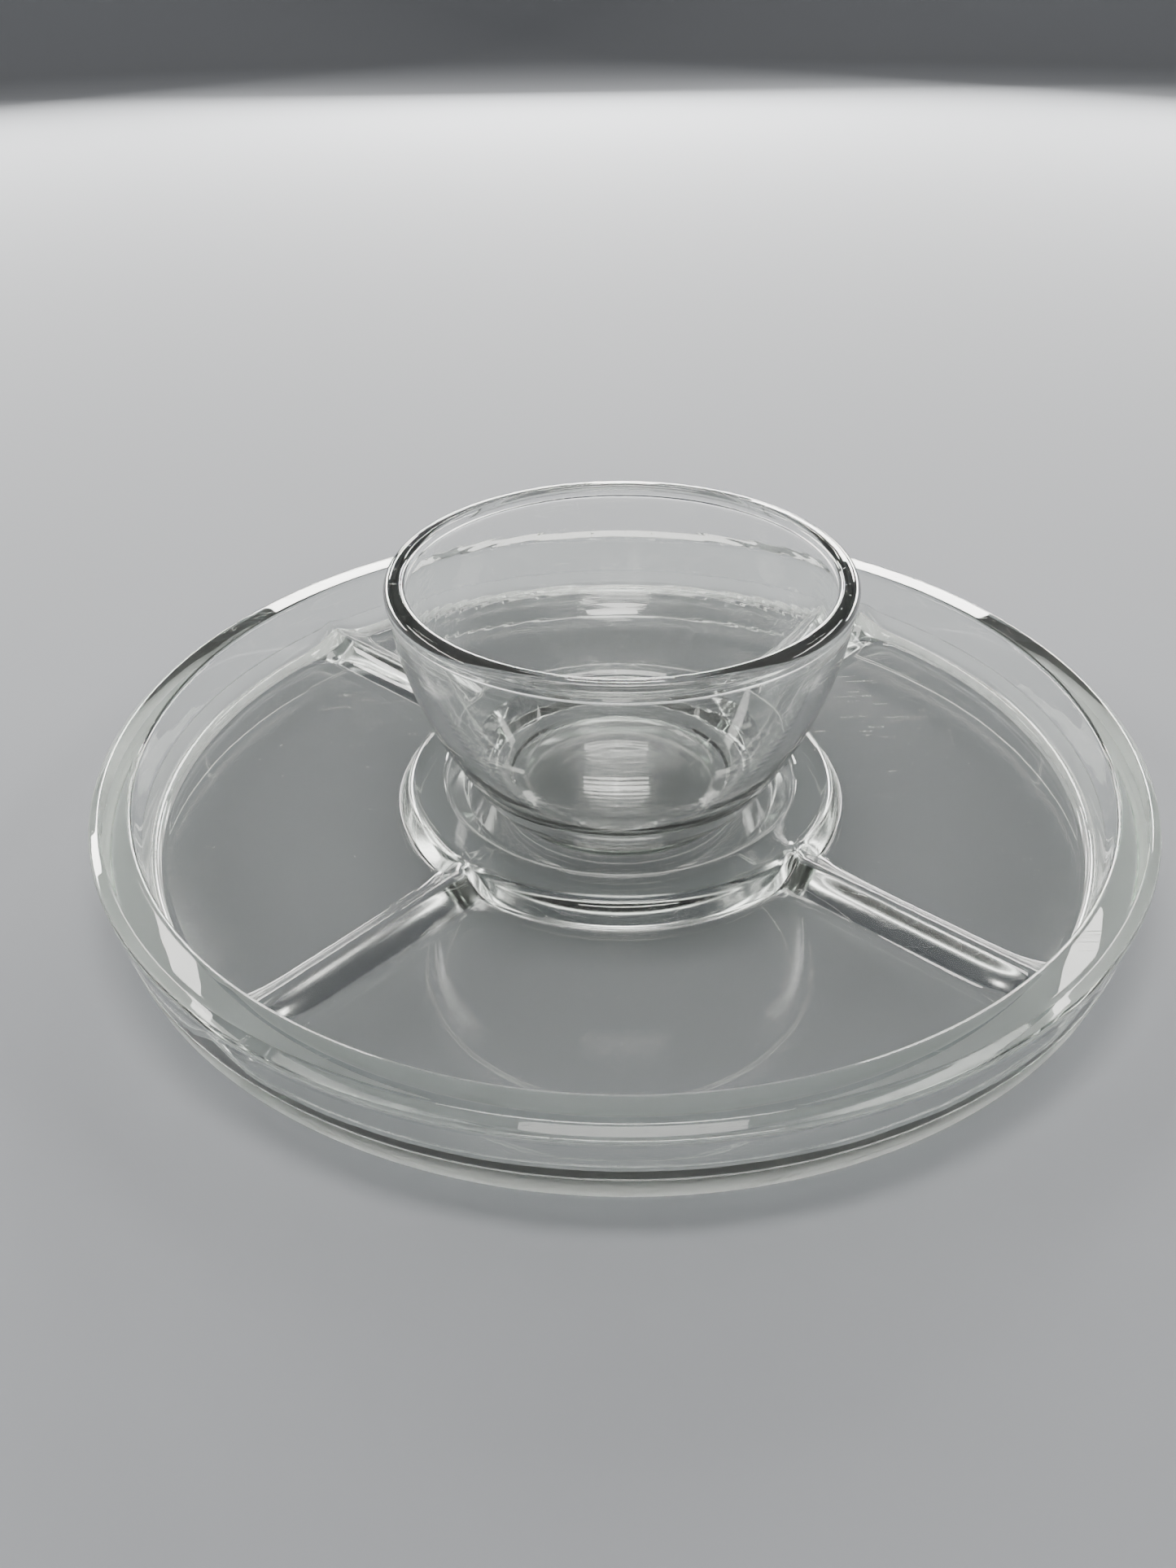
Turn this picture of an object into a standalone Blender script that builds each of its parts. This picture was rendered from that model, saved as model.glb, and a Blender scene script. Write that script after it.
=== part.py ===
"""Two-piece pressed-glass chip and dip server.

A round divided platter has four compartments round a raised ring. A separate dip bowl stands in the well
inside the ring and lifts straight out. Metres, +Z up, origin at the centre of the platter's underside.
The ribs lie on the diagonals, so a compartment faces each of +X, +Y, -X and -Y.
"""

import math

import bmesh
import bpy
from mathutils import Matrix, Vector
from mathutils.geometry import interpolate_bezier

MM = 0.001

# Platter, turned part
RIM_RADIUS = 165.2 * MM
RIM_HEIGHT = 27.0 * MM
RIM_TOP_INNER_RADIUS = 152.4 * MM
RIM_TOP_OUTER_RADIUS = 161.6 * MM
RIM_SHOULDER_DROP = 2.3 * MM
WALL_FOOT_RADIUS = 150.4 * MM
BASE_RADIUS = 160.6 * MM
FLOOR_HEIGHT = 5.0 * MM

# Ring round the well
WELL_RADIUS = 50.4 * MM
WELL_EDGE_RADIUS = 51.4 * MM
WELL_EDGE_HEIGHT = 9.2 * MM
RING_TOP_INNER_RADIUS = 57.0 * MM
RING_TOP_OUTER_RADIUS = 68.6 * MM
RING_FOOT_RADIUS = 72.6 * MM
RING_HEIGHT = 13.2 * MM

# Ribs between the compartments
RIB_COUNT = 4
RIB_FIRST_ANGLE = math.radians(45.0)
RIB_HEIGHT = 11.5 * MM
RIB_TOP_HALF_WIDTH = 2.4 * MM
RIB_FOOT_HALF_WIDTH = 8.4 * MM
RIB_ROOT_HEIGHT = 2.5 * MM
RIB_START_RADIUS = 62.0 * MM
RIB_END_RADIUS = 156.0 * MM

# Dip bowl
BOWL_CLEARANCE = 0.3 * MM
BOWL_HEIGHT = 79.0 * MM
BOWL_RIM_RADIUS = 70.7 * MM
BOWL_RIM_INNER_RADIUS = 64.0 * MM
BOWL_RIM_BAND = 5.3 * MM
BOWL_SIDE_TOP_RADIUS = 70.0 * MM
BOWL_SIDE_LOW_RADIUS = 46.6 * MM
BOWL_SIDE_LOW_HEIGHT = 8.5 * MM
BOWL_FOOT_RADIUS = 39.0 * MM
BOWL_FOOT_HEIGHT = 2.0 * MM
BOWL_INNER_TOP_RADIUS = 64.6 * MM
BOWL_INNER_LOW_RADIUS = 38.0 * MM
BOWL_INNER_LOW_HEIGHT = 8.6 * MM
BOWL_INNER_FLOOR_RADIUS = 32.0 * MM
BOWL_FLOOR_THICKNESS = 6.0 * MM

# Mesh fineness
PLATTER_STEPS = 72
BOWL_STEPS = 56
CORNER_STEPS = 2
SIDE_STEPS = 7
RIB_CORNER_STEPS = 3
MERGE_DISTANCE = 0.00002


def clear_scene():
    """Remove every object that is already in the scene."""
    for thing in list(bpy.data.objects):
        bpy.data.objects.remove(thing, do_unlink=True)


def glass(name, colour, roughness):
    """Make a clear glass material."""
    material = bpy.data.materials.new(name)
    material.use_nodes = True
    shader = material.node_tree.nodes["Principled BSDF"]
    shader.inputs["Base Color"].default_value = (*colour, 1.0)
    shader.inputs["Roughness"].default_value = roughness
    shader.inputs["Metallic"].default_value = 0.0
    shader.inputs["IOR"].default_value = 1.5
    shader.inputs["Transmission Weight"].default_value = 1.0
    return material


def rounded_outline(corners, steps):
    """Turn (x, z, radius) corners into points, with an arc at each corner that has a radius."""
    points = []
    last = len(corners) - 1
    for index, (x, z, radius) in enumerate(corners):
        corner = Vector((x, z))
        if radius == 0.0 or index in (0, last):
            points.append(corner)
            continue
        before = (Vector(corners[index - 1][:2]) - corner).normalized()
        after = (Vector(corners[index + 1][:2]) - corner).normalized()
        half_angle = before.angle(after) / 2.0
        setback = radius / math.tan(half_angle)
        centre = corner + (before + after).normalized() * radius / math.sin(half_angle)
        start = corner + before * setback - centre
        end = corner + after * setback - centre
        sweep = math.atan2(start.cross(end), start.dot(end))
        for step in range(steps + 1):
            turn = Matrix.Rotation(sweep * step / steps, 2)
            points.append(centre + turn @ start)
    return points


def turned_object(name, outline, steps, material):
    """Spin an outline round the Z axis into one closed solid.

    The outline starts on the axis above, runs out and down the outer side, and ends on the axis below.
    """
    mesh = bpy.data.meshes.new(name)
    vertices = [(point.x, 0.0, point.y) for point in outline]
    edges = [(index, index + 1) for index in range(len(outline) - 1)]
    mesh.from_pydata(vertices, edges, [])
    mesh.materials.append(material)
    turned = bpy.data.objects.new(name, mesh)
    bpy.context.collection.objects.link(turned)
    screw = turned.modifiers.new("turn", "SCREW")
    screw.axis = "Z"
    screw.steps = steps
    screw.render_steps = steps
    screw.use_merge_vertices = True
    screw.merge_threshold = MERGE_DISTANCE
    screw.use_smooth_shade = True
    return turned


def platter_outline():
    """Platter section, from the well's centre over the ring, floor and rim to the underside's centre."""
    corners = [
        (0.0, FLOOR_HEIGHT, 0.0),
        (WELL_RADIUS, FLOOR_HEIGHT, 1.2 * MM),
        (WELL_EDGE_RADIUS, WELL_EDGE_HEIGHT, 0.8 * MM),
        (RING_TOP_INNER_RADIUS, RING_HEIGHT, 5.0 * MM),
        (RING_TOP_OUTER_RADIUS, RING_HEIGHT, 4.0 * MM),
        (RING_FOOT_RADIUS, FLOOR_HEIGHT, 2.0 * MM),
        (WALL_FOOT_RADIUS, FLOOR_HEIGHT, 4.5 * MM),
        (RIM_TOP_INNER_RADIUS, RIM_HEIGHT, 1.2 * MM),
        (RIM_TOP_OUTER_RADIUS, RIM_HEIGHT, 1.5 * MM),
        (RIM_RADIUS, RIM_HEIGHT - RIM_SHOULDER_DROP, 2.0 * MM),
        (BASE_RADIUS, 0.0, 1.8 * MM),
        (0.0, 0.0, 0.0),
    ]
    return rounded_outline(corners, CORNER_STEPS)


def rib_section():
    """Rib section as (across, height) points: a ridge with a rounded top and feet below the floor."""
    slope = (RIB_FOOT_HALF_WIDTH - RIB_TOP_HALF_WIDTH) / (RIB_HEIGHT - FLOOR_HEIGHT)
    root_half_width = RIB_FOOT_HALF_WIDTH + slope * (FLOOR_HEIGHT - RIB_ROOT_HEIGHT)
    corners = [
        (root_half_width, RIB_ROOT_HEIGHT, 0.0),
        (RIB_TOP_HALF_WIDTH, RIB_HEIGHT, 2.2 * MM),
        (-RIB_TOP_HALF_WIDTH, RIB_HEIGHT, 2.2 * MM),
        (-root_half_width, RIB_ROOT_HEIGHT, 0.0),
    ]
    return rounded_outline(corners, RIB_CORNER_STEPS)


def rib_tool():
    """One hidden object with the four ribs, each a prism that runs from the ring into the rim."""
    section = rib_section()
    work = bmesh.new()
    for index in range(RIB_COUNT):
        angle = RIB_FIRST_ANGLE + index * math.tau / RIB_COUNT
        turn = Matrix.Rotation(angle, 3, "Z")
        inner_end = [work.verts.new(turn @ Vector((RIB_START_RADIUS, p.x, p.y))) for p in section]
        face = work.faces.new(inner_end)
        extruded = bmesh.ops.extrude_face_region(work, geom=[face])
        moved = [item for item in extruded["geom"] if isinstance(item, bmesh.types.BMVert)]
        run = turn @ Vector((RIB_END_RADIUS - RIB_START_RADIUS, 0.0, 0.0))
        bmesh.ops.translate(work, verts=moved, vec=run)
    bmesh.ops.recalc_face_normals(work, faces=work.faces)
    mesh = bpy.data.meshes.new("rib_tool")
    work.to_mesh(mesh)
    work.free()
    tool = bpy.data.objects.new("rib_tool", mesh)
    bpy.context.collection.objects.link(tool)
    tool.hide_render = True
    tool.display_type = "WIRE"
    return tool


def make_platter(material):
    """Turned platter with the four ribs joined on."""
    platter = turned_object("divided_platter", platter_outline(), PLATTER_STEPS, material)
    join = platter.modifiers.new("ribs", "BOOLEAN")
    join.operation = "UNION"
    join.solver = "EXACT"
    join.object = rib_tool()
    return platter


def bowl_side(top, upper_pull, lower_pull, low):
    """Corners down one side of the bowl, along a Bezier curve in the section plane."""
    ends = [Vector((x, z, 0.0)) for x, z in (top, upper_pull, lower_pull, low)]
    points = interpolate_bezier(*ends, SIDE_STEPS + 1)
    return [(point.x, point.y, 0.0) for point in points]


def bowl_outline():
    """Bowl section, from the inside's centre up the inner side, over the rim and down to the base."""
    band_low = BOWL_HEIGHT - BOWL_RIM_BAND
    inside = bowl_side(
        (BOWL_INNER_TOP_RADIUS, band_low),
        (BOWL_INNER_TOP_RADIUS - 1.4 * MM, band_low - 26.0 * MM),
        (BOWL_INNER_LOW_RADIUS + 13.5 * MM, BOWL_INNER_LOW_HEIGHT + 15.0 * MM),
        (BOWL_INNER_LOW_RADIUS, BOWL_INNER_LOW_HEIGHT),
    )
    outside = bowl_side(
        (BOWL_SIDE_TOP_RADIUS, band_low),
        (BOWL_SIDE_TOP_RADIUS - 1.5 * MM, band_low - 27.0 * MM),
        (BOWL_SIDE_LOW_RADIUS + 11.0 * MM, BOWL_SIDE_LOW_HEIGHT + 17.5 * MM),
        (BOWL_SIDE_LOW_RADIUS, BOWL_SIDE_LOW_HEIGHT),
    )
    corners = [
        (0.0, BOWL_FLOOR_THICKNESS, 0.0),
        (BOWL_INNER_FLOOR_RADIUS, BOWL_FLOOR_THICKNESS, 2.0 * MM),
        *reversed(inside),
        (BOWL_RIM_INNER_RADIUS, BOWL_HEIGHT, 2.2 * MM),
        (BOWL_RIM_RADIUS, BOWL_HEIGHT, 2.6 * MM),
        (BOWL_RIM_RADIUS, band_low + 0.8 * MM, 0.6 * MM),
        *outside,
        (BOWL_FOOT_RADIUS, BOWL_FOOT_HEIGHT, 1.0 * MM),
        (BOWL_FOOT_RADIUS - 0.5 * MM, 0.0, 0.5 * MM),
        (0.0, 0.0, 0.0),
    ]
    return rounded_outline(corners, CORNER_STEPS)


def make_bowl(material):
    """Turned dip bowl, standing on the well's floor."""
    bowl = turned_object("dip_bowl", bowl_outline(), BOWL_STEPS, material)
    bowl.location.z = FLOOR_HEIGHT + BOWL_CLEARANCE
    return bowl


def main():
    """Build the server."""
    clear_scene()
    make_platter(glass("platter_glass", (0.93, 0.96, 0.95), 0.03))
    make_bowl(glass("bowl_glass", (0.93, 0.97, 0.94), 0.02))


main()
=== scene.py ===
"""Finished look of a two-piece pressed-glass chip and dip server.

The divided platter and the dip bowl are built again as fine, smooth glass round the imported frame, and shown
on a plain floor under soft studio light. Metres, +Z up, origin at the centre of the platter's underside.
"""

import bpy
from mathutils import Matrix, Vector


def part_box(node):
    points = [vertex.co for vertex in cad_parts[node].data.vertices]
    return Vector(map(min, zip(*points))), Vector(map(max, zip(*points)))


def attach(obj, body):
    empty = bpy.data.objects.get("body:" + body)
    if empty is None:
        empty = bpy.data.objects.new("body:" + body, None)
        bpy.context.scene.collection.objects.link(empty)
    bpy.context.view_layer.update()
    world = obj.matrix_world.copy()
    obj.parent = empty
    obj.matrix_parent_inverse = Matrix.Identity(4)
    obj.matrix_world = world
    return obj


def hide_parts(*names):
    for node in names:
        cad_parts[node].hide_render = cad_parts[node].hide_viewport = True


bl_info = {
    "name": "Glass Chip and Dip Server",
    "version": (1, 0, 0),
    "blender": (4, 5, 0),
    "location": "View3D > Sidebar > Glassware",
    "description": "Builds a divided glass platter, its dip bowl and a small studio",
    "category": "Add Mesh",
}

import math

import bpy
from bpy.props import FloatProperty, FloatVectorProperty, IntProperty, PointerProperty
from bpy.types import Operator, Panel, PropertyGroup
from mathutils import Matrix, Vector, noise
from mathutils.geometry import interpolate_bezier

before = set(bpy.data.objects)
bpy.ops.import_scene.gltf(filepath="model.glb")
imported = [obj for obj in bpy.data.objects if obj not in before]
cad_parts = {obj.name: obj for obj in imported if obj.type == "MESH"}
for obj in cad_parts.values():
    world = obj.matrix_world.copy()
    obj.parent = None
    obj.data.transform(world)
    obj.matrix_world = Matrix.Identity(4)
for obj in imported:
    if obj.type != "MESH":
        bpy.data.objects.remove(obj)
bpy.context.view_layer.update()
PLATTER_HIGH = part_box("divided_platter")[1]
BOWL_LOW, BOWL_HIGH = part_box("dip_bowl")

MM = 0.001

# Name of the mesh attribute that says how worn the glass is, from 0 to 1, and its values away from the foot
WEAR_MARK = "wear"
PLATTER_UNDERSIDE_WEAR = 0.25
BOWL_UNDERSIDE_WEAR = 0.2
BOWL_FLOOR_WEAR = 0.012

# How near a face, or the seam, a point is when it counts as lying on it
FACE_MARGIN = 0.1 * MM
SEAM_MARGIN = 0.05 * MM

# Fine scratches: the direction and fineness of each set, how long they are, how sharply they stand out of the
# noise that makes them, how rough they are and how deep they cut
SCRATCH_SETS = ((0.5, 2600.0), (2.1, 3100.0))
SCRATCH_LENGTHWISE = 40.0
SCRATCH_RAMP = (0.69, 0.77)
SCRATCH_ROUGHNESS = 0.3
SCRATCH_DEPTH = 0.01 * MM

# Fineness of the level streaks along X, Y and Z
STREAK_FINENESS = (30.0, 30.0, 1800.0)

# Floor under the server, swept up into a backdrop
FLOOR_GAP = 0.4 * MM
FLOOR_ROUGHNESS = 0.9
FLOOR_STEPS = 128
SWEEP_STEPS = 24
MERGE_DISTANCE = 0.0001

# Camera: where it stands, in degrees and metres, and how it is turned, in degrees
CAMERA_BEARING = -94.4
CAMERA_REACH = 0.348
CAMERA_HEIGHT = 0.2476
CAMERA_HEADING = -2.66
CAMERA_TILT = 55.19
CAMERA_ROLL = -0.64
CAMERA_CLIP = 0.01

# Lamps as (name, heading from +Y towards +X, rise, shape, size, power), all the same distance away
LAMP_DISTANCE = 1.9
LAMP_COLOUR = (1.0, 0.98, 0.94)
LAMPS = (
    ("top_lamp", 0.0, 84.0, "ELLIPSE", (1.1, 0.36), 25.0),
    ("back_lamp", 180.0, 62.0, "ELLIPSE", (1.0, 0.30), 6.0),
    ("low_back_lamp", 180.0, 20.0, "ELLIPSE", (1.6, 0.24), 22.0),
    ("left_lamp", -70.0, 36.0, "ELLIPSE", (1.5, 0.14), 14.0),
    ("right_lamp", 72.0, 34.0, "ELLIPSE", (1.5, 0.14), 14.0),
    ("far_left_lamp", -42.0, 12.0, "ELLIPSE", (1.5, 0.28), 44.0),
    ("far_lamp", 1.0, 11.0, "ELLIPSE", (1.3, 0.24), 42.0),
    ("far_right_lamp", 42.0, 12.0, "ELLIPSE", (1.5, 0.28), 44.0),
    ("left_band_lamp", -13.0, 24.2, "ELLIPSE", (0.30, 0.09), 3.0),
    ("middle_band_lamp", 2.0, 22.3, "ELLIPSE", (0.90, 0.06), 6.0),
    ("right_band_lamp", 18.5, 24.8, "ELLIPSE", (0.45, 0.12), 6.0),
    ("left_streak_lamp", -26.6, 40.3, "ELLIPSE", (0.04, 0.24), 0.5),
    ("right_streak_lamp", 36.3, 40.8, "ELLIPSE", (0.04, 0.18), 0.4),
    ("pane_lamp", 2.3, 31.8, "RECTANGLE", (0.10, 0.04), 0.6),
    ("pane_lamp", 5.7, 31.8, "RECTANGLE", (0.10, 0.04), 0.6),
    ("pane_lamp", 2.3, 36.0, "RECTANGLE", (0.10, 0.04), 0.6),
    ("pane_lamp", 5.7, 36.0, "RECTANGLE", (0.10, 0.04), 0.6),
)


def length(name, description, default):
    """A length in metres, shown in the scene's unit."""
    return FloatProperty(name=name, description=description, default=default, unit="LENGTH", precision=4)


def colour(name, description, default):
    """A colour without alpha."""
    return FloatVectorProperty(
        name=name, description=description, default=default, subtype="COLOR", size=3, min=0.0, max=1.0
    )


class PlatterSizes(PropertyGroup):
    """Sizes of the divided platter."""

    rim_height: length("Rim height", "Height of the rim's flat top", PLATTER_HIGH.z)
    rim_top_inner: length("Rim top, inner", "Radius where the flat top begins", PLATTER_HIGH.x - 12.6 * MM)
    rim_top_outer: length("Rim top, outer", "Radius where the flat top ends", PLATTER_HIGH.x - 3.4 * MM)
    shoulder_drop: length("Shoulder drop", "How far the rim's shoulder falls", 2.3 * MM)
    shoulder_radius: length("Shoulder corner", "Radius of the shoulder's corner", PLATTER_HIGH.x + 0.2 * MM)
    seam_height: length("Seam height", "Height of the mould seam round the outer side", 8.6 * MM)
    seam_step: length("Seam step", "How far the band under the seam stands out", 0.25 * MM)
    base_radius: length("Base radius", "Radius of the flat underside", PLATTER_HIGH.x - 4.4 * MM)
    foot_inner: length("Foot, inner", "Inner radius of the worn ring that the platter stands on", 149.0 * MM)
    wall_foot: length("Wall foot", "Radius where the inner wall meets the floor", PLATTER_HIGH.x - 14.6 * MM)
    wall_fillet: length("Wall fillet", "Radius of the fillet between floor and wall", 4.5 * MM)
    floor_height: length("Floor height", "Thickness of the glass floor", 5.0 * MM)
    well_radius: length("Well radius", "Radius of the well's flat floor", 50.4 * MM)
    well_edge_radius: length("Well edge radius", "Radius of the ring's inner edge", 51.4 * MM)
    well_edge_height: length("Well edge height", "Height of the ring's inner edge", 9.2 * MM)
    ring_inner: length("Ring crest, inner", "Radius where the ring's crest begins", 57.0 * MM)
    ring_outer: length("Ring crest, outer", "Radius where the ring's crest ends", 68.6 * MM)
    ring_foot: length("Ring foot", "Radius where the ring meets the floor", 72.6 * MM)
    ring_height: length("Ring height", "Height of the ring's crest", 13.2 * MM)
    rib_height: length("Rib height", "Height of a rib's crest", 11.5 * MM)
    rib_half_width: length("Rib half width", "From a rib's crest to its foot, on the flat", 8.4 * MM)
    rib_crest: length("Rib crest", "Roundness of a rib's crest", 3.0 * MM)
    rib_fillet: length("Rib fillet", "How far a rib's foot is rounded into the floor", 2.6 * MM)
    ring_flare: length("Ring flare", "Extra rounding where a rib meets the ring", 3.5 * MM)
    wall_flare: length("Wall flare", "Extra rounding where a rib meets the wall", 6.0 * MM)
    rib_count: IntProperty(name="Ribs", description="Number of ribs", default=4, min=2, max=12)


class BowlSizes(PropertyGroup):
    """Sizes of the dip bowl. Heights are measured from the bowl's own base."""

    base_height: length("Base height", "Height of the bowl's base above the table", BOWL_LOW.z)
    height: length("Height", "From the bowl's base to its rim", BOWL_HIGH.z - BOWL_LOW.z)
    rim_radius: length("Rim radius", "Widest radius of the rim", BOWL_HIGH.x)
    rim_inner: length("Rim inner radius", "Radius of the rim's inner edge", BOWL_HIGH.x - 6.7 * MM)
    rim_band: length("Rim band", "Height of the rim's bead", 5.3 * MM)
    side_top: length("Side, top", "Outer radius just under the rim", BOWL_HIGH.x - 0.7 * MM)
    side_low: length("Side, low", "Outer radius just above the foot", 46.6 * MM)
    side_low_height: length("Side, low height", "Height where the foot's slope begins", 8.5 * MM)
    foot_radius: length("Foot radius", "Radius of the foot", 39.0 * MM)
    foot_height: length("Foot height", "Height of the foot", 2.0 * MM)
    inner_top: length("Inside, top", "Inner radius just under the rim", BOWL_HIGH.x - 6.1 * MM)
    inner_low: length("Inside, low", "Inner radius just above the floor", 38.0 * MM)
    inner_low_height: length("Inside, low height", "Height where the inner floor's slope begins", 8.6 * MM)
    inner_floor: length("Inner floor", "Radius of the flat inner floor", 32.0 * MM)
    floor_thickness: length("Floor thickness", "Thickness of the bowl's floor", 6.0 * MM)


class GlassLook(PropertyGroup):
    """Colour and surface of the pressed glass."""

    tint: colour("Tint", "Colour that thick glass takes", (0.72, 0.88, 0.76))
    depth: FloatProperty(name="Tint depth", description="Strength of the tint for each metre", default=9.0)
    ior: FloatProperty(name="Refraction", description="Index of refraction", default=1.5, min=1.0, max=2.0)
    wave_size: length("Wave size", "Width of one soft wave in the pressed surface", 22.0 * MM)
    wave_height: length("Wave height", "Height of the soft waves", 0.05 * MM)
    wear: FloatProperty(
        name="Wear", description="How much the fine scratches show", default=0.35, min=0.0, max=1.0
    )
    haze: FloatProperty(name="Haze", description="Share of light that a surface scatters", default=0.012)
    foot_roughness: FloatProperty(
        name="Foot roughness", description="Roughness of the worn foot and the band above it", default=0.35
    )
    streak_height: length("Streak height", "Height of the streaks on the band under the seam", 0.02 * MM)


class StudioLook(PropertyGroup):
    """Floor, light and camera."""

    floor: colour("Floor", "Colour of the floor and backdrop", (0.23, 0.24, 0.26))
    floor_radius: length("Floor radius", "Radius of the flat floor", 2.4)
    sweep: length("Sweep", "Radius of the curve from floor to backdrop", 0.8)
    backdrop: length("Backdrop height", "Height of the backdrop above the sweep", 0.8)
    sky: colour("Sky", "Colour of the light from all round", (0.80, 0.86, 0.95))
    sky_strength: FloatProperty(name="Sky strength", description="Strength of the sky", default=0.08)
    lamp_power: FloatProperty(name="Lamp power", description="Scales the power of every lamp", default=1.0)
    lens: FloatProperty(name="Lens", description="Focal length in millimetres", default=29.17)


def rounded_outline(corners, steps):
    """Turn (x, z, radius) corners into points, with an arc at each corner that has a radius."""
    points = []
    last = len(corners) - 1
    for index, (x, z, radius) in enumerate(corners):
        corner = Vector((x, z))
        if radius == 0.0 or index in (0, last):
            points.append(corner)
            continue
        before = (Vector(corners[index - 1][:2]) - corner).normalized()
        after = (Vector(corners[index + 1][:2]) - corner).normalized()
        half_angle = before.angle(after) / 2.0
        setback = radius / math.tan(half_angle)
        centre = corner + (before + after).normalized() * radius / math.sin(half_angle)
        start = corner + before * setback - centre
        end = corner + after * setback - centre
        sweep = math.atan2(start.cross(end), start.dot(end))
        for step in range(steps + 1):
            points.append(centre + Matrix.Rotation(sweep * step / steps, 2) @ start)
    return points


def filled_in(points, longest, margin):
    """Add points along the long straight stretches, and one a margin from each of their ends."""
    filled = [points[0]]
    for start, end in zip(points, points[1:]):
        span = (end - start).length
        if span > 3.0 * margin:
            cuts = max(1, math.ceil((span - 2.0 * margin) / longest))
            inset = margin / span
            for cut in range(cuts + 1):
                share = inset + (1.0 - 2.0 * inset) * cut / cuts
                filled.append(start.lerp(end, share))
        filled.append(end)
    return filled


def smooth_max(first, second, width):
    """The larger of two heights, with a round valley of that width where they meet."""
    if width <= 0.0:
        return max(first, second)
    overlap = max(width - abs(first - second), 0.0)
    return max(first, second) + overlap * overlap / (4.0 * width)


def mesh_from_rings(name, rings, body):
    """Skin a closed solid from rings of points; the first and the last ring are single points on the axis."""
    vertices = [point for ring in rings for point in ring]
    starts = [0]
    for ring in rings:
        starts.append(starts[-1] + len(ring))
    around = len(rings[1])
    faces = []
    for column in range(around):
        following = (column + 1) % around
        faces.append((0, starts[1] + column, starts[1] + following))
        for row in range(1, len(rings) - 2):
            upper, lower = starts[row], starts[row + 1]
            faces.append((upper + column, lower + column, lower + following, upper + following))
        bottom = starts[-2]
        faces.append((starts[-3] + column, bottom, starts[-3] + following))
    mesh = bpy.data.meshes.new(name)
    mesh.from_pydata(vertices, [], faces)
    mesh.shade_smooth()
    piece = bpy.data.objects.new(name, mesh)
    bpy.context.scene.collection.objects.link(piece)
    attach(piece, body)
    return piece


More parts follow.
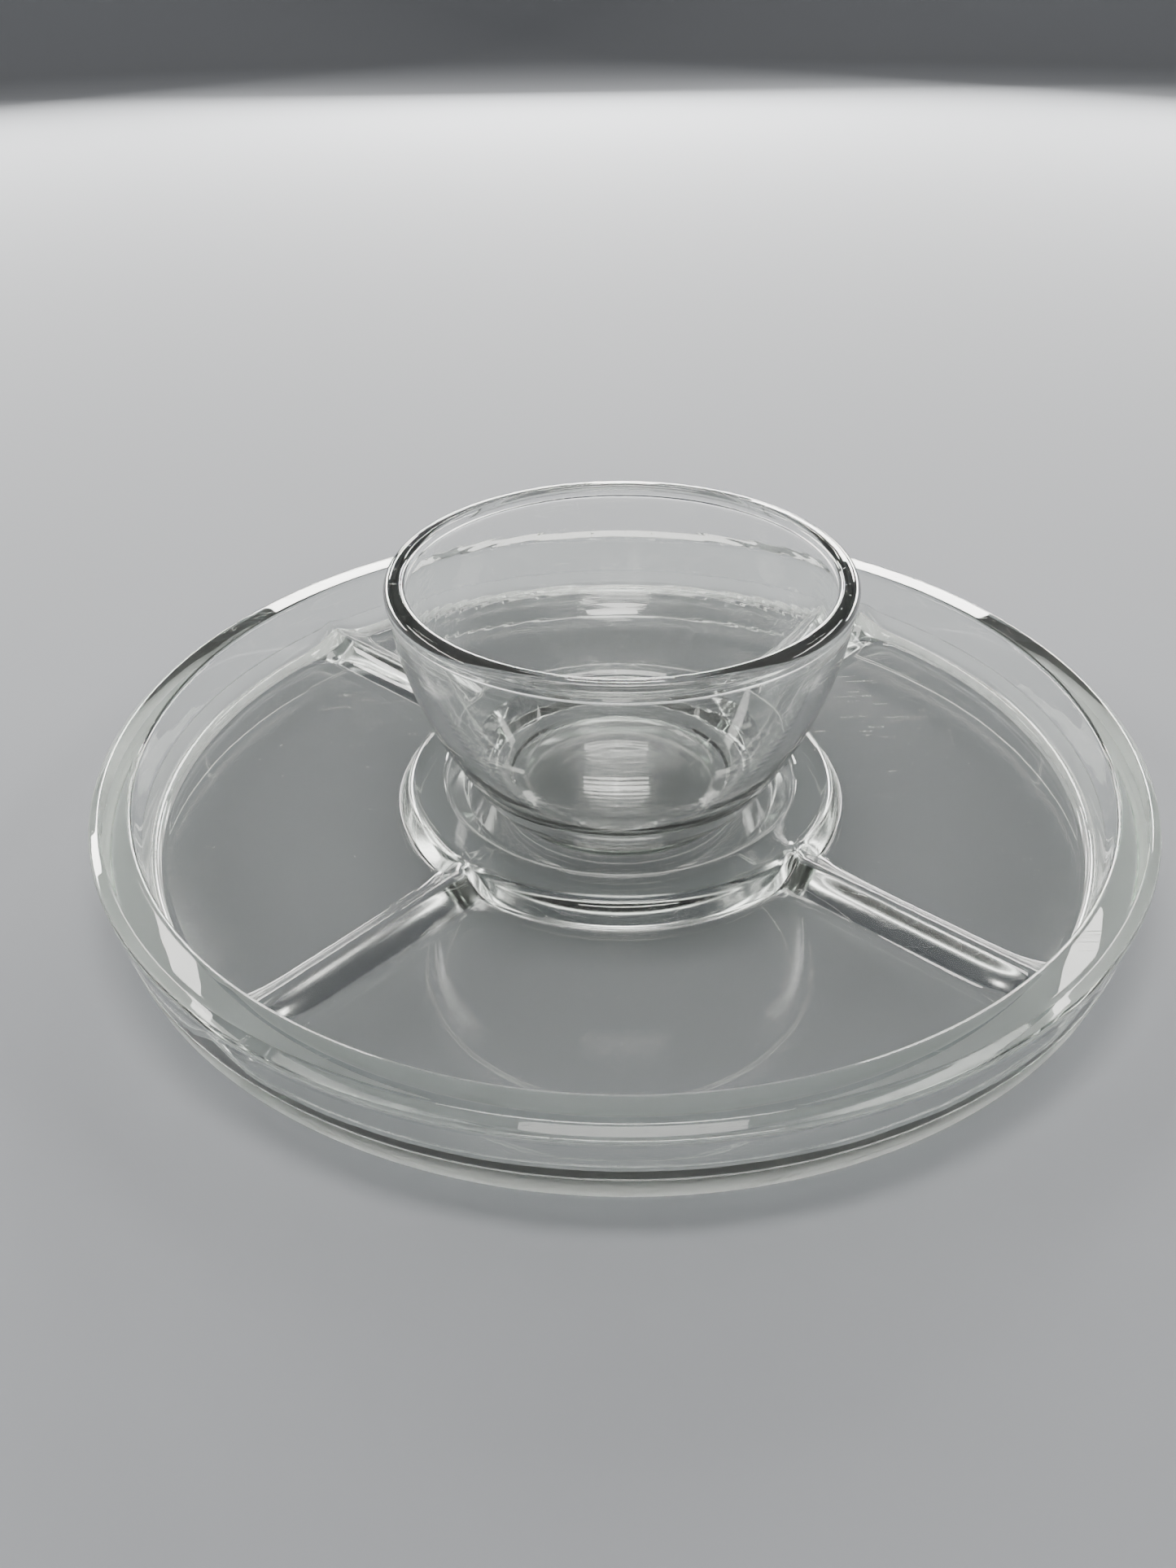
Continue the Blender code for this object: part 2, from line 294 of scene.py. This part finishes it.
class PlatterShape:
    """The platter's surface, as rows from the well's centre out over the rim and back under the base."""

    PARALLEL_WIDTH = 20.0 * MM
    PARALLEL_COLUMNS = 36
    FAN_COLUMNS = 50
    ARC_STEPS = 8
    WALL_ARC_STEPS = 10
    LONGEST_ROW = 12.0 * MM
    ROW_MARGIN = 0.4 * MM
    FLOOR_ROWS = 18
    WALL_ROWS = 5

    # Corner radii, from the well outwards, and how far the centre rows run past the ring's foot
    WELL_CORNER = 1.2 * MM
    WELL_EDGE_CORNER = 0.8 * MM
    RING_INNER_CORNER = 5.0 * MM
    RING_OUTER_CORNER = 4.0 * MM
    RING_FOOT_CORNER = 2.0 * MM
    RING_RUN = 4.0 * MM
    RIM_INNER_CORNER = 1.7 * MM
    RIM_OUTER_CORNER = 2.2 * MM
    SHOULDER_CORNER = 2.0 * MM
    SEAM_CORNER = 0.3 * MM
    BASE_CORNER = 1.4 * MM

    # The side just above the seam, and how far the band under it stands out halfway down
    SEAM_LEDGE = 0.1 * MM
    SEAM_RISE = 0.5 * MM
    BAND_BULGE = 1.1 * MM

    # How steeply a rib sinks into the ring, and how far the flares at its two ends reach
    RIB_SINK = 0.7
    RING_FLARE_REACH = 6.0 * MM
    WALL_FLARE_REACH = 9.0 * MM

    # Bumps along the seam: how far from it they reach, their fineness and their height
    BUMP_REACH = 0.6 * MM
    BUMP_FINENESS = 40.0
    BUMP_HEIGHT = 0.08 * MM

    def __init__(self, sizes):
        self.sizes = sizes
        self.centre_rows = self.make_centre_rows()
        self.rim_rows = self.make_rim_rows()

    def make_centre_rows(self):
        """Well and ring, as far as the foot of the ring."""
        s = self.sizes
        corners = [
            (0.0, s.floor_height, 0.0),
            (s.well_radius, s.floor_height, self.WELL_CORNER),
            (s.well_edge_radius, s.well_edge_height, self.WELL_EDGE_CORNER),
            (s.ring_inner, s.ring_height, self.RING_INNER_CORNER),
            (s.ring_outer, s.ring_height, self.RING_OUTER_CORNER),
            (s.ring_foot, s.floor_height, self.RING_FOOT_CORNER),
            (s.ring_foot + self.RING_RUN, s.floor_height, 0.0),
        ]
        return filled_in(rounded_outline(corners, self.ARC_STEPS), self.LONGEST_ROW, self.ROW_MARGIN)

    def make_rim_rows(self):
        """Rim, outer side with its mould seam, and underside, from the top of the inner wall."""
        s = self.sizes
        shoulder = s.rim_height - s.shoulder_drop
        lean = (s.shoulder_radius - s.base_radius) / shoulder
        seam = s.base_radius + lean * s.seam_height
        corners = [
            (s.wall_foot, s.floor_height, 0.0),
            (s.rim_top_inner, s.rim_height, self.RIM_INNER_CORNER),
            (s.rim_top_outer, s.rim_height, self.RIM_OUTER_CORNER),
            (s.shoulder_radius, shoulder, self.SHOULDER_CORNER),
            (seam + self.SEAM_LEDGE, s.seam_height + self.SEAM_RISE, self.SEAM_CORNER),
            (seam + s.seam_step, s.seam_height, self.SEAM_CORNER),
            (s.base_radius + self.BAND_BULGE, 0.5 * s.seam_height, self.SEAM_CORNER),
            (s.base_radius, 0.0, self.BASE_CORNER),
            (s.foot_inner, 0.0, 0.0),
            (0.0, 0.0, 0.0),
        ]
        return filled_in(rounded_outline(corners, self.ARC_STEPS)[1:], self.LONGEST_ROW, self.ROW_MARGIN)

    def rib_top(self, across):
        """Height of a rib's surface at a distance across from its crest."""
        s = self.sizes
        crest = s.rib_crest
        fall = (s.rib_height - s.floor_height) / (math.hypot(s.rib_half_width, crest) - crest)
        return s.rib_height - fall * (math.hypot(across, crest) - crest)

    def joined(self, radius, base, across):
        """Height of the floor or ring with the rib joined on."""
        s = self.sizes
        sunk = self.RIB_SINK * max(0.0, s.ring_outer - radius)
        from_ring = max(0.0, radius - s.ring_foot) / self.RING_FLARE_REACH
        from_wall = max(0.0, s.wall_foot - radius) / self.WALL_FLARE_REACH
        flare = s.ring_flare * math.exp(-from_ring * from_ring)
        flare += s.wall_flare * math.exp(-from_wall * from_wall)
        return smooth_max(base, self.rib_top(across) - sunk, s.rib_fillet + flare)

    def columns(self):
        """Columns round the platter as (rib angle, distance across, share of the way to the next rib)."""
        pitch = math.tau / self.sizes.rib_count
        found = []
        for rib in range(self.sizes.rib_count):
            angle = pitch * (rib + 0.5)
            for step in range(-self.PARALLEL_COLUMNS, self.PARALLEL_COLUMNS + 1):
                found.append((angle, self.PARALLEL_WIDTH * step / self.PARALLEL_COLUMNS, 0.0))
            for step in range(1, self.FAN_COLUMNS):
                found.append((angle, self.PARALLEL_WIDTH, step / self.FAN_COLUMNS))
        return found

    def bearing(self, column, radius):
        """Direction of a column at a radius. Near a rib, columns run beside it; elsewhere they fan out."""
        angle, across, share = column
        reach = max(radius, self.sizes.ring_inner)
        beside = math.asin(across / reach)
        gap = math.tau / self.sizes.rib_count - 2.0 * math.asin(self.PARALLEL_WIDTH / reach)
        return angle + beside + gap * share

    def section(self, column):
        """Points of one column, as (radius, height)."""
        s = self.sizes
        _, across, share = column
        beside_rib = share == 0.0
        points = []
        for radius, height in self.centre_rows:
            if beside_rib and radius > s.ring_inner:
                height = self.joined(radius, height, across)
            points.append((radius, height))
        level = s.floor_height
        if beside_rib:
            level = self.joined(s.wall_foot, level, across)
        lean = (s.rim_top_inner - s.wall_foot) / (s.rim_height - s.floor_height)
        corner = s.wall_foot + lean * (level - s.floor_height)
        fillet = rounded_outline(
            [(s.ring_foot, level, 0.0), (corner, level, s.wall_fillet), (s.rim_top_inner, s.rim_height, 0.0)],
            self.WALL_ARC_STEPS,
        )[1:-1]
        first, last = self.centre_rows[-1].x, fillet[0].x
        for step in range(1, self.FLOOR_ROWS):
            eased = 0.5 - 0.5 * math.cos(math.pi * step / self.FLOOR_ROWS)
            radius = first + (last - first) * eased
            height = self.joined(radius, s.floor_height, across) if beside_rib else s.floor_height
            points.append((radius, height))
        points.extend((point.x, point.y) for point in fillet)
        wall_top = self.rim_rows[0]
        for step in range(1, self.WALL_ROWS):
            point = fillet[-1].lerp(wall_top, step / self.WALL_ROWS)
            points.append((point.x, point.y))
        points.extend((point.x, point.y) for point in self.rim_rows)
        return points

    def seam_bumps(self, bearing, radius, height):
        """Small bumps that the mould leaves along its seam."""
        s = self.sizes
        if radius < s.foot_inner or abs(height - s.seam_height) > self.BUMP_REACH:
            return 0.0
        place = Vector((math.cos(bearing), math.sin(bearing), 0.0)) * self.BUMP_FINENESS
        return self.BUMP_HEIGHT * noise.noise(place)

    def rings(self):
        """Rings of points, one for each row."""
        columns = self.columns()
        sections = [self.section(column) for column in columns]
        rings = []
        for row in range(len(sections[0])):
            ring = []
            for column, section in zip(columns, sections):
                radius, height = section[row]
                bearing = self.bearing(column, radius)
                radius += self.seam_bumps(bearing, radius, height)
                ring.append(Vector((radius * math.cos(bearing), radius * math.sin(bearing), height)))
            rings.append(ring if ring[0].xy.length > 0.0 else ring[:1])
        return rings


class BowlShape:
    """The bowl's surface, as rows from the inside's centre up over the rim and down to the base's centre."""

    COLUMNS = 288
    ARC_STEPS = 10
    SIDE_STEPS = 36
    LONGEST_ROW = 8.0 * MM
    ROW_MARGIN = 0.4 * MM

    # How the sides curve: the pull at the top, inwards and down, and at the bottom, outwards and up
    INSIDE_TOP_PULL = (1.4 * MM, 26.0 * MM)
    INSIDE_LOW_PULL = (13.5 * MM, 15.0 * MM)
    OUTSIDE_TOP_PULL = (1.5 * MM, 27.0 * MM)
    OUTSIDE_LOW_PULL = (11.0 * MM, 17.5 * MM)

    # Corner radii, from the inner floor over the rim to the base
    FLOOR_CORNER = 4.0 * MM
    RIM_INNER_CORNER = 2.2 * MM
    RIM_OUTER_CORNER = 2.6 * MM
    BEAD_CORNER = 0.6 * MM
    FOOT_CORNER = 1.0 * MM
    BASE_CORNER = 0.5 * MM

    # Where the rim's bead ends above the side, and how far the base is set in from the foot
    BEAD_RISE = 0.8 * MM
    BASE_INSET = 0.5 * MM

    def __init__(self, sizes):
        self.sizes = sizes

    def side(self, top, top_pull, low_pull, low):
        """Corners down one side of the bowl, along a Bezier curve in the section plane."""
        upper = (top[0] - top_pull[0], top[1] - top_pull[1])
        lower = (low[0] + low_pull[0], low[1] + low_pull[1])
        ends = [Vector((x, z, 0.0)) for x, z in (top, upper, lower, low)]
        return [(point.x, point.y, 0.0) for point in interpolate_bezier(*ends, self.SIDE_STEPS + 1)]

    def section(self):
        """Points of the bowl's section, as (radius, height above its base)."""
        s = self.sizes
        band_low = s.height - s.rim_band
        inside = self.side(
            (s.inner_top, band_low),
            self.INSIDE_TOP_PULL,
            self.INSIDE_LOW_PULL,
            (s.inner_low, s.inner_low_height),
        )
        outside = self.side(
            (s.side_top, band_low),
            self.OUTSIDE_TOP_PULL,
            self.OUTSIDE_LOW_PULL,
            (s.side_low, s.side_low_height),
        )
        corners = [
            (0.0, s.floor_thickness, 0.0),
            (s.inner_floor, s.floor_thickness, self.FLOOR_CORNER),
            *reversed(inside),
            (s.rim_inner, s.height, self.RIM_INNER_CORNER),
            (s.rim_radius, s.height, self.RIM_OUTER_CORNER),
            (s.rim_radius, band_low + self.BEAD_RISE, self.BEAD_CORNER),
            *outside,
            (s.foot_radius, s.foot_height, self.FOOT_CORNER),
            (s.foot_radius - self.BASE_INSET, 0.0, self.BASE_CORNER),
            (0.0, 0.0, 0.0),
        ]
        return filled_in(rounded_outline(corners, self.ARC_STEPS), self.LONGEST_ROW, self.ROW_MARGIN)

    def rings(self):
        """Rings of points, one for each row."""
        base = self.sizes.base_height
        rings = []
        for radius, height in self.section():
            if radius == 0.0:
                rings.append([Vector((0.0, 0.0, base + height))])
                continue
            ring = []
            for column in range(self.COLUMNS):
                bearing = math.tau * column / self.COLUMNS
                ring.append(Vector((radius * math.cos(bearing), radius * math.sin(bearing), base + height)))
            rings.append(ring)
        return rings


class NodeTree:
    """A short way to add nodes to a material or a world and to link them."""

    def __init__(self, owner):
        owner.use_nodes = True
        self.tree = owner.node_tree
        self.tree.nodes.clear()

    def add(self, kind, **settings):
        """Add a node, with its properties set."""
        node = self.tree.nodes.new(kind)
        for key, value in settings.items():
            setattr(node, key, value)
        return node

    def link(self, output, socket):
        """Link an output to an input."""
        self.tree.links.new(output, socket)


def scratches(nodes, coordinates, turn, fineness):
    """Add thin straight streaks that run in one direction, and give their mask as an output."""
    mapping = nodes.add("ShaderNodeMapping")
    mapping.inputs["Rotation"].default_value = (0.0, 0.0, turn)
    mapping.inputs["Scale"].default_value = (SCRATCH_LENGTHWISE, fineness, fineness)
    nodes.link(coordinates, mapping.inputs["Vector"])
    grain = nodes.add("ShaderNodeTexNoise")
    grain.inputs["Scale"].default_value = 1.0
    grain.inputs["Detail"].default_value = 2.0
    nodes.link(mapping.outputs["Vector"], grain.inputs["Vector"])
    ramp = nodes.add("ShaderNodeMapRange")
    ramp.inputs["From Min"].default_value, ramp.inputs["From Max"].default_value = SCRATCH_RAMP
    nodes.link(grain.outputs["Fac"], ramp.inputs["Value"])
    return ramp.outputs["Result"]


def mould_streaks(nodes, coordinates):
    """Add fine level streaks, as a turned mould leaves them, and give their height as an output."""
    mapping = nodes.add("ShaderNodeMapping")
    mapping.inputs["Scale"].default_value = STREAK_FINENESS
    nodes.link(coordinates, mapping.inputs["Vector"])
    grain = nodes.add("ShaderNodeTexNoise")
    grain.inputs["Scale"].default_value = 1.0
    grain.inputs["Detail"].default_value = 3.0
    nodes.link(mapping.outputs["Vector"], grain.inputs["Vector"])
    return grain.outputs["Fac"]


def pressed_glass(name, look):
    """Clear pressed glass: soft waves, fine scratches, worn places, and a tint that grows with its depth."""
    material = bpy.data.materials.new(name)
    nodes = NodeTree(material)
    output = nodes.add("ShaderNodeOutputMaterial")
    shader = nodes.add("ShaderNodeBsdfPrincipled")
    shader.inputs["Base Color"].default_value = (1.0, 1.0, 1.0, 1.0)
    shader.inputs["IOR"].default_value = look.ior
    shader.inputs["Transmission Weight"].default_value = 1.0 - look.haze
    nodes.link(shader.outputs["BSDF"], output.inputs["Surface"])

    absorption = nodes.add("ShaderNodeVolumeAbsorption")
    absorption.inputs["Color"].default_value = (*look.tint, 1.0)
    absorption.inputs["Density"].default_value = look.depth
    nodes.link(absorption.outputs["Volume"], output.inputs["Volume"])

    place = nodes.add("ShaderNodeTexCoord")
    marks = nodes.add("ShaderNodeMath", operation="MAXIMUM")
    for (turn, fineness), socket in zip(SCRATCH_SETS, marks.inputs):
        nodes.link(scratches(nodes, place.outputs["Object"], turn, fineness), socket)

    scratched = nodes.add("ShaderNodeMath", operation="MULTIPLY")
    scratched.inputs[1].default_value = SCRATCH_ROUGHNESS * look.wear
    nodes.link(marks.outputs["Value"], scratched.inputs[0])
    worn = nodes.add("ShaderNodeAttribute", attribute_name=WEAR_MARK)
    rough = nodes.add("ShaderNodeMath", operation="MULTIPLY_ADD")
    rough.inputs[1].default_value = look.foot_roughness
    nodes.link(worn.outputs["Fac"], rough.inputs[0])
    nodes.link(scratched.outputs["Value"], rough.inputs[2])
    nodes.link(rough.outputs["Value"], shader.inputs["Roughness"])

    waves = nodes.add("ShaderNodeTexNoise")
    waves.inputs["Scale"].default_value = 1.0 / look.wave_size
    waves.inputs["Detail"].default_value = 1.0
    nodes.link(place.outputs["Object"], waves.inputs["Vector"])
    soft = nodes.add("ShaderNodeBump")
    soft.inputs["Strength"].default_value = 1.0
    soft.inputs["Distance"].default_value = look.wave_height
    nodes.link(waves.outputs["Fac"], soft.inputs["Height"])
    cut = nodes.add("ShaderNodeBump", invert=True)
    cut.inputs["Strength"].default_value = look.wear
    cut.inputs["Distance"].default_value = SCRATCH_DEPTH
    nodes.link(marks.outputs["Value"], cut.inputs["Height"])
    nodes.link(soft.outputs["Normal"], cut.inputs["Normal"])
    streaked = nodes.add("ShaderNodeBump")
    streaked.inputs["Distance"].default_value = look.streak_height
    nodes.link(worn.outputs["Fac"], streaked.inputs["Strength"])
    nodes.link(mould_streaks(nodes, place.outputs["Object"]), streaked.inputs["Height"])
    nodes.link(cut.outputs["Normal"], streaked.inputs["Normal"])
    nodes.link(streaked.outputs["Normal"], shader.inputs["Normal"])
    return material


def mark_wear(piece, wear_at):
    """Mark each point of a piece with the wear that a function gives for its radius and height."""
    marks = piece.data.attributes.new(WEAR_MARK, "FLOAT", "POINT")
    for vertex, mark in zip(piece.data.vertices, marks.data):
        mark.value = wear_at(vertex.co.xy.length, vertex.co.z)


def platter_wear(sizes):
    """Full wear on the foot and on the band under the seam, and a little on the underside."""

    def wear_at(radius, height):
        band = radius > sizes.rim_top_inner and height < sizes.seam_height + SEAM_MARGIN
        underside = height < FACE_MARGIN
        foot = underside and radius > sizes.foot_inner - FACE_MARGIN
        if band or foot:
            return 1.0
        return PLATTER_UNDERSIDE_WEAR if underside else 0.0

    return wear_at


def bowl_wear(sizes):
    """A little wear on the inner floor, from spoons, and more under the foot."""

    def wear_at(radius, height):
        if height < sizes.base_height + FACE_MARGIN:
            return BOWL_UNDERSIDE_WEAR
        inside = radius < sizes.inner_low and height < sizes.base_height + sizes.inner_low_height
        above = height > sizes.base_height + sizes.floor_thickness - FACE_MARGIN
        return BOWL_FLOOR_WEAR if inside and above else 0.0

    return wear_at


class GLASSWARE_OT_platter(Operator):
    """Build the divided platter"""

    bl_idname = "glassware.platter"
    bl_label = "Divided Platter"
    bl_options = {"REGISTER", "UNDO"}

    def execute(self, context):
        """Build the platter and put it in the place of its plain solid."""
        rings = PlatterShape(context.scene.glass_platter).rings()
        platter = mesh_from_rings("platter_glass", rings, "platter")
        look = context.scene.glass_look
        platter.data.materials.append(pressed_glass("platter_glass", look))
        mark_wear(platter, platter_wear(context.scene.glass_platter))
        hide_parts("divided_platter")
        return {"FINISHED"}


class GLASSWARE_OT_bowl(Operator):
    """Build the dip bowl"""

    bl_idname = "glassware.bowl"
    bl_label = "Dip Bowl"
    bl_options = {"REGISTER", "UNDO"}

    def execute(self, context):
        """Build the bowl and put it in the place of its plain solid."""
        rings = BowlShape(context.scene.glass_bowl).rings()
        bowl = mesh_from_rings("bowl_glass", rings, "bowl")
        bowl.data.materials.append(pressed_glass("bowl_glass", context.scene.glass_look))
        mark_wear(bowl, bowl_wear(context.scene.glass_bowl))
        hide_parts("dip_bowl")
        return {"FINISHED"}


class GLASSWARE_OT_studio(Operator):
    """Build the floor, the lights and the camera"""

    bl_idname = "glassware.studio"
    bl_label = "Studio"
    bl_options = {"REGISTER", "UNDO"}

    def execute(self, context):
        """Build everything that isn't part of the server."""
        look = context.scene.glass_studio
        self.add_floor(look)
        self.add_sky(context, look)
        self.add_lights(look)
        self.add_camera(context, look)
        return {"FINISHED"}

    def add_floor(self, look):
        """A round floor whose edge sweeps up into a backdrop."""
        section = [Vector((0.0, -FLOOR_GAP)), Vector((look.floor_radius, -FLOOR_GAP))]
        for step in range(1, SWEEP_STEPS + 1):
            turn = 0.5 * math.pi * step / SWEEP_STEPS
            out = look.floor_radius + look.sweep * math.sin(turn)
            section.append(Vector((out, look.sweep * (1.0 - math.cos(turn)) - FLOOR_GAP)))
        section.append(section[-1] + Vector((0.0, look.backdrop)))
        mesh = bpy.data.meshes.new("studio_floor")
        vertices = [(point.x, 0.0, point.y) for point in section]
        edges = [(index, index + 1) for index in range(len(section) - 1)]
        mesh.from_pydata(vertices, edges, [])
        floor = bpy.data.objects.new("studio_floor", mesh)
        bpy.context.scene.collection.objects.link(floor)
        screw = floor.modifiers.new("turn", "SCREW")
        screw.axis = "Z"
        screw.steps = FLOOR_STEPS
        screw.render_steps = FLOOR_STEPS
        screw.use_merge_vertices = True
        screw.merge_threshold = MERGE_DISTANCE
        screw.use_smooth_shade = True
        material = bpy.data.materials.new("studio_floor")
        nodes = NodeTree(material)
        output = nodes.add("ShaderNodeOutputMaterial")
        shader = nodes.add("ShaderNodeBsdfPrincipled")
        shader.inputs["Base Color"].default_value = (*look.floor, 1.0)
        shader.inputs["Roughness"].default_value = FLOOR_ROUGHNESS
        nodes.link(shader.outputs["BSDF"], output.inputs["Surface"])
        mesh.materials.append(material)

    def add_sky(self, context, look):
        """Even light from all round."""
        world = bpy.data.worlds.new("studio_sky")
        nodes = NodeTree(world)
        output = nodes.add("ShaderNodeOutputWorld")
        background = nodes.add("ShaderNodeBackground")
        background.inputs["Color"].default_value = (*look.sky, 1.0)
        background.inputs["Strength"].default_value = look.sky_strength
        nodes.link(background.outputs["Background"], output.inputs["Surface"])
        context.scene.world = world

    def add_lamp(self, name, place, shape, size, power):
        """A soft flat lamp that faces the server."""
        data = bpy.data.lights.new(name, "AREA")
        data.shape = shape
        data.size, data.size_y = size
        data.energy = power
        data.color = LAMP_COLOUR
        light = bpy.data.objects.new(name, data)
        light.location = place
        light.rotation_euler = (-Vector(place)).to_track_quat("-Z", "Y").to_euler()
        light.visible_camera = False
        bpy.context.scene.collection.objects.link(light)

    def add_lights(self, look):
        """A broad lamp overhead, low ones all round, and small ones beyond that draw the highlights."""
        for name, heading, rise, shape, size, power in LAMPS:
            turn, tilt = math.radians(heading), math.radians(rise)
            way = Vector((math.sin(turn) * math.cos(tilt), math.cos(turn) * math.cos(tilt), math.sin(tilt)))
            self.add_lamp(name, way * LAMP_DISTANCE, shape, size, power * look.lamp_power)

    def add_camera(self, context, look):
        """A camera in front of the server and above it."""
        data = bpy.data.cameras.new("camera")
        data.lens = look.lens
        data.clip_start = CAMERA_CLIP
        data.dof.use_dof = False
        camera = bpy.data.objects.new("camera", data)
        bearing = math.radians(CAMERA_BEARING)
        place = Vector((CAMERA_REACH * math.cos(bearing), CAMERA_REACH * math.sin(bearing), CAMERA_HEIGHT))
        heading = Matrix.Rotation(math.radians(CAMERA_HEADING), 4, "Z")
        tilt = Matrix.Rotation(math.radians(CAMERA_TILT), 4, "X")
        roll = Matrix.Rotation(math.radians(CAMERA_ROLL), 4, "Z")
        camera.matrix_world = Matrix.Translation(place) @ heading @ tilt @ roll
        bpy.context.scene.collection.objects.link(camera)
        context.scene.camera = camera


class GLASSWARE_PT_panel(Panel):
    """Sidebar panel with the sizes, the looks and one button for each piece"""

    bl_idname = "GLASSWARE_PT_panel"
    bl_label = "Chip and Dip Server"
    bl_space_type = "VIEW_3D"
    bl_region_type = "UI"
    bl_category = "Glassware"

    def draw(self, context):
        """Draw the settings and the buttons."""
        for name, operator in STEPS:
            box = self.layout.box()
            settings = getattr(context.scene, name)
            for key in settings.__annotations__:
                box.prop(settings, key)
            if operator:
                box.operator(operator)


STEPS = (
    ("glass_look", None),
    ("glass_platter", "glassware.platter"),
    ("glass_bowl", "glassware.bowl"),
    ("glass_studio", "glassware.studio"),
)
SETTINGS = {
    "glass_look": GlassLook,
    "glass_platter": PlatterSizes,
    "glass_bowl": BowlSizes,
    "glass_studio": StudioLook,
}
CLASSES = (
    *SETTINGS.values(),
    GLASSWARE_OT_platter,
    GLASSWARE_OT_bowl,
    GLASSWARE_OT_studio,
    GLASSWARE_PT_panel,
)


def register():
    """Register the classes and hang the settings on the scene."""
    for item in CLASSES:
        bpy.utils.register_class(item)
    for name, group in SETTINGS.items():
        setattr(bpy.types.Scene, name, PointerProperty(type=group))


def unregister():
    """Take everything away again."""
    for name in SETTINGS:
        delattr(bpy.types.Scene, name)
    for item in reversed(CLASSES):
        bpy.utils.unregister_class(item)


def main():
    """Build the server and its studio."""
    register()
    bpy.ops.glassware.platter()
    bpy.ops.glassware.bowl()
    bpy.ops.glassware.studio()


if __name__ == "__main__":
    main()
